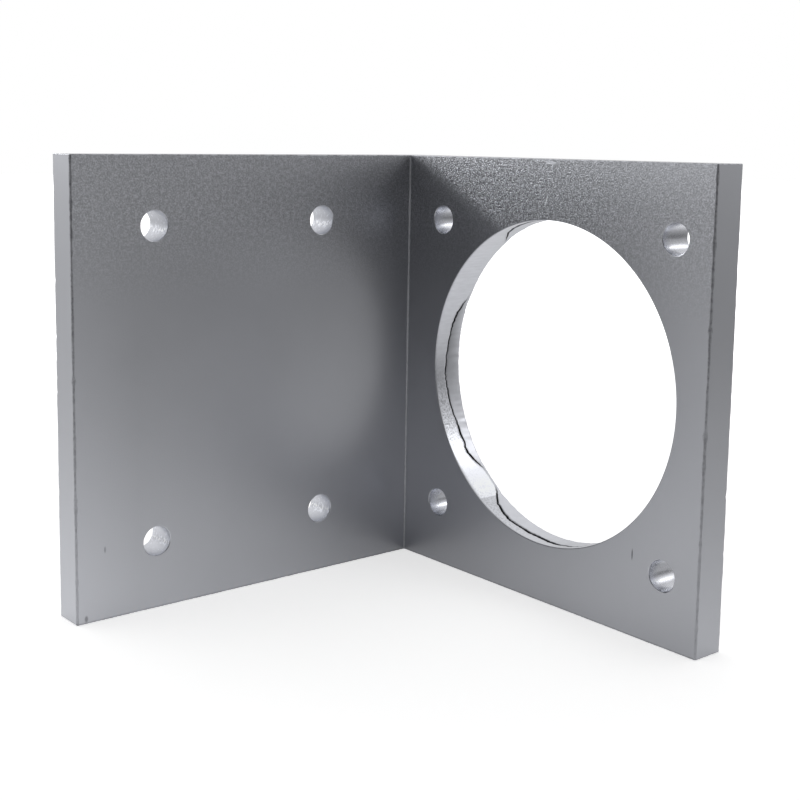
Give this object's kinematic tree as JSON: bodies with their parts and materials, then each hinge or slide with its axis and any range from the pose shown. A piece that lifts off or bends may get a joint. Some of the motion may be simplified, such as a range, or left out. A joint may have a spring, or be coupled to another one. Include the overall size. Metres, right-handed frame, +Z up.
{
  "type": "motor mounting bracket",
  "caption": "Right-angle bracket sawn from thick angle stock: one leg bored and drilled for a square-flanged motor, the other drilled as a foot.",
  "frame": {"origin": "centre of the pilot bore on the motor face, the inner face of the motor leg", "axes": "+X along the motor shaft, from the motor through the leg; +Y from the pilot bore to the foot leg; +Z up the sawn length, the bracket standing on one sawn end as modelled"},
  "size_m": [0.099, 0.0995, 0.1],
  "materials": {
    "aluminium": "satin blasted and clear anodised, bright where bored and drilled"
  },
  "bodies": {
    "root": {"bracket": "aluminium"}
  },
  "joints": []
}
